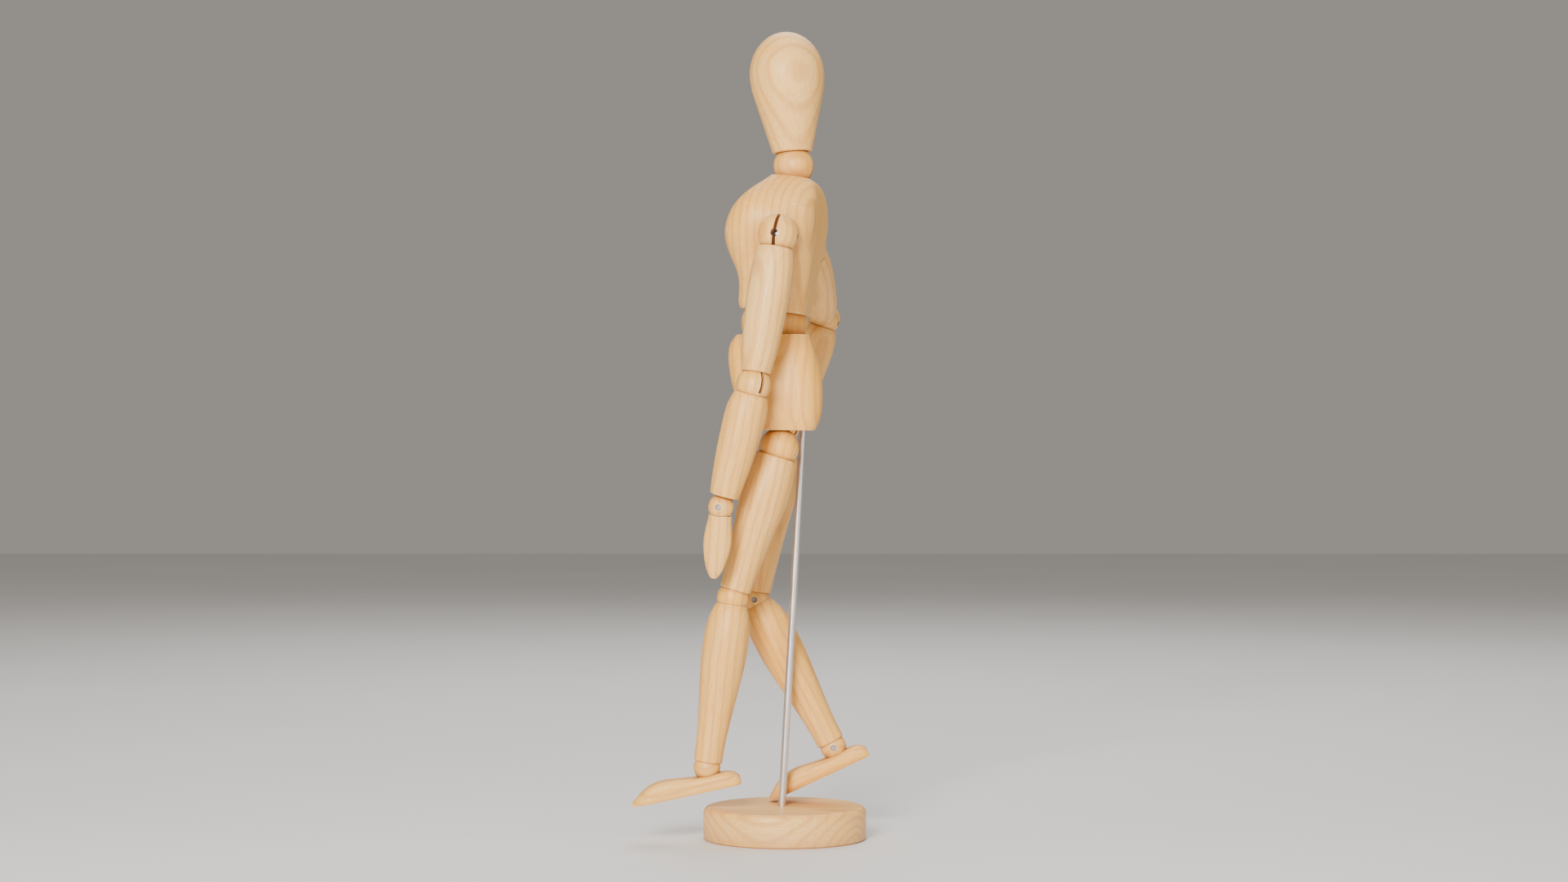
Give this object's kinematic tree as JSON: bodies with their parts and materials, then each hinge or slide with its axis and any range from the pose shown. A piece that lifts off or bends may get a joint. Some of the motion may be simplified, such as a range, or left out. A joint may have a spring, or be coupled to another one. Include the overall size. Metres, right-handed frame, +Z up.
{
  "type": "artist mannequin",
  "caption": "Jointed wooden drawing figure in a walking pose: blank turned head, balls and limbs held by pins and springs, on a steel rod over a round base.",
  "frame": {"origin": "centre of the base's underside", "axes": "+Z up, the figure faces -Y, its left side is +X"},
  "size_m": [0.1342, 0.096, 0.3274],
  "materials": {
    "limb_wood": "satin",
    "ball_wood": "satin",
    "base_wood": "satin",
    "rod_steel": "satin",
    "pin_steel": "satin",
    "wire_steel": "satin"
  },
  "bodies": {
    "stand": {"base_disc": "base_wood", "support_rod": "rod_steel"},
    "pelvis": {"pelvis_block": "limb_wood", "pelvis_spring": "wire_steel", "hip_anchors": "wire_steel"},
    "waist": {"waist_ball": "ball_wood", "waist_pin": "pin_steel"},
    "chest": {"chest_block": "limb_wood", "chest_spring": "wire_steel", "shoulder_spring": "wire_steel"},
    "neck": {"neck_ball": "ball_wood", "neck_pin": "pin_steel"},
    "head": {"head": "limb_wood", "head_stud": "wire_steel"},
    "shoulder_left": {"shoulder_ball_left": "ball_wood", "shoulder_pin_left": "pin_steel"},
    "upper_arm_left": {"upper_arm_left": "limb_wood", "upper_arm_spring_left": "wire_steel"},
    "elbow_left": {"elbow_ball_left": "ball_wood", "elbow_pin_left": "pin_steel"},
    "forearm_left": {"forearm_left": "limb_wood", "forearm_spring_left": "wire_steel"},
    "wrist_left": {"wrist_ball_left": "ball_wood", "wrist_pin_left": "pin_steel"},
    "hand_left": {"hand_left": "limb_wood"},
    "hip_left": {"hip_ball_left": "ball_wood", "hip_pin_left": "pin_steel"},
    "thigh_left": {"thigh_left": "limb_wood", "thigh_spring_left": "wire_steel"},
    "knee_left": {"knee_ball_left": "ball_wood", "knee_pin_left": "pin_steel"},
    "shin_left": {"shin_left": "limb_wood", "shin_spring_left": "wire_steel"},
    "ankle_left": {"ankle_ball_left": "ball_wood", "ankle_pin_left": "pin_steel"},
    "foot_left": {"foot_left": "limb_wood"},
    "shoulder_right": {"shoulder_ball_right": "ball_wood", "shoulder_pin_right": "pin_steel"},
    "upper_arm_right": {"upper_arm_right": "limb_wood", "upper_arm_spring_right": "wire_steel"},
    "elbow_right": {"elbow_ball_right": "ball_wood", "elbow_pin_right": "pin_steel"},
    "forearm_right": {"forearm_right": "limb_wood", "forearm_spring_right": "wire_steel"},
    "wrist_right": {"wrist_ball_right": "ball_wood", "wrist_pin_right": "pin_steel"},
    "hand_right": {"hand_right": "limb_wood"},
    "hip_right": {"hip_ball_right": "ball_wood", "hip_pin_right": "pin_steel"},
    "thigh_right": {"thigh_right": "limb_wood", "thigh_spring_right": "wire_steel"},
    "knee_right": {"knee_ball_right": "ball_wood", "knee_pin_right": "pin_steel"},
    "shin_right": {"shin_right": "limb_wood", "shin_spring_right": "wire_steel"},
    "ankle_right": {"ankle_ball_right": "ball_wood", "ankle_pin_right": "pin_steel"},
    "foot_right": {"foot_right": "limb_wood"}
  },
  "joints": [
    {"name": "pelvis_swivel", "type": "hinge", "parent": "stand", "child": "pelvis", "pos_m": [0, -0.0012, 0.0132], "axis": [0, 0.055, 0.9985], "range_deg": [-45, 45]},
    {"name": "waist_bend", "type": "hinge", "parent": "pelvis", "child": "waist", "pos_m": [0, -0.0043, 0.2091], "axis": [1, 0, 0], "range_deg": [-18, 14]},
    {"name": "chest_twist", "type": "hinge", "parent": "waist", "child": "chest", "pos_m": [0, -0.0043, 0.2091], "axis": [0, 0.1219, 0.9925], "range_deg": [-42, 42]},
    {"name": "neck_nod", "type": "hinge", "parent": "chest", "child": "neck", "pos_m": [0, 0.00353, 0.27287], "axis": [0.9799, -0.1979, 0.0243], "range_deg": [-26, 14]},
    {"name": "head_turn", "type": "hinge", "parent": "neck", "child": "head", "pos_m": [0, 0.00353, 0.27287], "axis": [-0.0391, -0.0711, 0.9967], "range_deg": [-90, 90]},
    {"name": "shoulder_swing_left", "type": "hinge", "parent": "chest", "child": "shoulder_left", "pos_m": [0.0299, -0.00265, 0.24315], "axis": [-0.9799, 0.1979, -0.0243], "range_deg": [-50, 45]},
    {"name": "shoulder_raise_left", "type": "hinge", "parent": "shoulder_left", "child": "upper_arm_left", "pos_m": [0.0299, -0.00265, 0.24315], "axis": [-0.1993, -0.9703, 0.1367], "range_deg": [-4, 80]},
    {"name": "elbow_bend_left", "type": "hinge", "parent": "upper_arm_left", "child": "elbow_left", "pos_m": [0.03592, -0.0123, 0.18343], "axis": [-0.5042, 0.8431, -0.187], "range_deg": [-11, 39]},
    {"name": "forearm_twist_left", "type": "hinge", "parent": "elbow_left", "child": "forearm_left", "pos_m": [0.03592, -0.0123, 0.18343], "axis": [0.0726, 0.2572, 0.9636], "range_deg": [-80, 80]},
    {"name": "wrist_bend_left", "type": "hinge", "parent": "forearm_left", "child": "wrist_left", "pos_m": [0.03229, -0.02516, 0.13524], "axis": [-0.9769, 0.2131, 0.0167], "range_deg": [-25, 40]},
    {"name": "hand_twist_left", "type": "hinge", "parent": "wrist_left", "child": "hand_left", "pos_m": [0.03229, -0.02516, 0.13524], "axis": [0.0402, 0.1066, 0.9935], "range_deg": [-80, 80]},
    {"name": "hip_swing_left", "type": "hinge", "parent": "pelvis", "child": "hip_left", "pos_m": [0.014, -0.0023, 0.1586], "axis": [-1, 0, 0], "range_deg": [-4, 55]},
    {"name": "thigh_twist_left", "type": "hinge", "parent": "hip_left", "child": "thigh_left", "pos_m": [0.014, -0.0023, 0.1586], "axis": [0, 0.2957, 0.9553], "range_deg": [-10, 30]},
    {"name": "knee_bend_left", "type": "hinge", "parent": "thigh_left", "child": "knee_left", "pos_m": [0.014, -0.02093, 0.09842], "axis": [1, 0, 0], "range_deg": [-8, 10]},
    {"name": "shin_twist_left", "type": "hinge", "parent": "knee_left", "child": "shin_left", "pos_m": [0.014, -0.02093, 0.09842], "axis": [0, 0.1495, 0.9888], "range_deg": [-15, 30]},
    {"name": "ankle_bend_left", "type": "hinge", "parent": "shin_left", "child": "ankle_left", "pos_m": [0.014, -0.03122, 0.03039], "axis": [1, 0, 0], "range_deg": [-35, 5]},
    {"name": "foot_twist_left", "type": "hinge", "parent": "ankle_left", "child": "foot_left", "pos_m": [0.014, -0.03122, 0.03039], "axis": [0, -0.2079, 0.9781], "range_deg": [-25, 30]},
    {"name": "shoulder_swing_right", "type": "hinge", "parent": "chest", "child": "shoulder_right", "pos_m": [-0.0285, 0.00915, 0.24171], "axis": [-0.9799, 0.1979, -0.0243], "range_deg": [-30, 45]},
    {"name": "shoulder_raise_right", "type": "hinge", "parent": "shoulder_right", "child": "upper_arm_right", "pos_m": [-0.0285, 0.00915, 0.24171], "axis": [0.1994, 0.9736, -0.1108], "range_deg": [-30, 30]},
    {"name": "elbow_bend_right", "type": "hinge", "parent": "upper_arm_right", "child": "elbow_right", "pos_m": [-0.08223, 0.01704, 0.21436], "axis": [-0.2895, -0.9065, 0.3073], "range_deg": [-66, 3]},
    {"name": "forearm_twist_right", "type": "hinge", "parent": "elbow_right", "child": "forearm_right", "pos_m": [-0.08223, 0.01704, 0.21436], "axis": [-0.0235, -0.3142, -0.9491], "range_deg": [-80, 80]},
    {"name": "wrist_bend_right", "type": "hinge", "parent": "forearm_right", "child": "wrist_right", "pos_m": [-0.08341, 0.00133, 0.16691], "axis": [0.8002, -0.575, 0.1706], "range_deg": [-35, 30]},
    {"name": "hand_twist_right", "type": "hinge", "parent": "wrist_right", "child": "hand_right", "pos_m": [-0.08341, 0.00133, 0.16691], "axis": [0.0601, -0.206, -0.9767], "range_deg": [-80, 80]},
    {"name": "hip_swing_right", "type": "hinge", "parent": "pelvis", "child": "hip_right", "pos_m": [-0.014, -0.0023, 0.1586], "axis": [-1, 0, 0], "range_deg": [-32, 60]},
    {"name": "thigh_twist_right", "type": "hinge", "parent": "hip_right", "child": "thigh_right", "pos_m": [-0.014, -0.0023, 0.1586], "axis": [0, -0.1616, -0.9869], "range_deg": [-6, 10]},
    {"name": "knee_bend_right", "type": "hinge", "parent": "thigh_right", "child": "knee_right", "pos_m": [-0.014, -0.01248, 0.09643], "axis": [1, 0, 0], "range_deg": [-36, 6]},
    {"name": "shin_twist_right", "type": "hinge", "parent": "knee_right", "child": "shin_right", "pos_m": [-0.014, -0.01248, 0.09643], "axis": [0, 0.471, -0.8821], "range_deg": [-6, 25]},
    {"name": "ankle_bend_right", "type": "hinge", "parent": "shin_right", "child": "ankle_right", "pos_m": [-0.014, 0.01992, 0.03574], "axis": [1, 0, 0], "range_deg": [-25, 0]},
    {"name": "foot_twist_right", "type": "hinge", "parent": "ankle_right", "child": "foot_right", "pos_m": [-0.014, 0.01992, 0.03574], "axis": [0, 0.4163, -0.9092], "range_deg": [-15, 25]}
  ]
}
